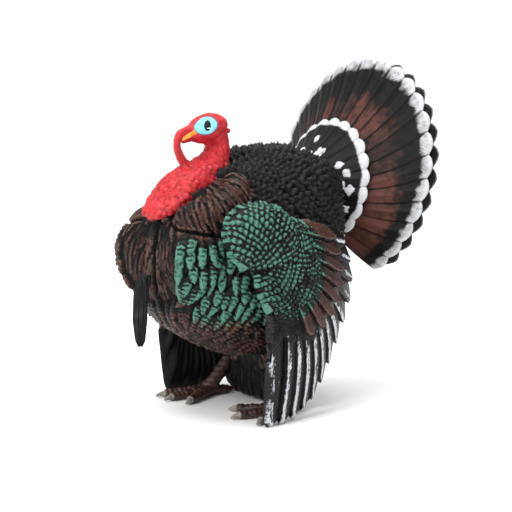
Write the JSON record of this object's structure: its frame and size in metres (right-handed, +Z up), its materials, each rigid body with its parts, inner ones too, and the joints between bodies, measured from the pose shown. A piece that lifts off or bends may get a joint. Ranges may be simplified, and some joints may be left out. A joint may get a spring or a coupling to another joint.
{
  "type": "turkey decoy",
  "caption": "Small painted figure of a strutting tom turkey with drooped wings and a fanned tail, standing on its own feet.",
  "frame": {"origin": "on the plane the feet stand on, under the middle of the figure's box", "axes": "+Z up, -Y the way the turkey faces, +X its left side"},
  "size_m": [0.0602, 0.0832, 0.0909],
  "materials": {
    "body_vinyl": "satin black and brown vinyl, dry-brushed teal",
    "head_vinyl": "satin coral red vinyl, painted eye and beak",
    "beard_vinyl": "matt charcoal vinyl",
    "wing_vinyl": "satin black vinyl, dry-brushed white and teal",
    "tail_vinyl": "satin rust brown vinyl with a white band",
    "covert_vinyl": "satin black vinyl with white rims",
    "leg_vinyl": "satin red-brown vinyl with grey claws"
  },
  "bodies": {
    "root": {"torso": "body_vinyl", "head_and_neck": "head_vinyl", "beard": "beard_vinyl", "left_wing": "wing_vinyl", "right_wing": "wing_vinyl", "tail_fan": "tail_vinyl", "tail_coverts": "covert_vinyl", "left_leg": "leg_vinyl", "right_leg": "leg_vinyl"}
  },
  "joints": []
}
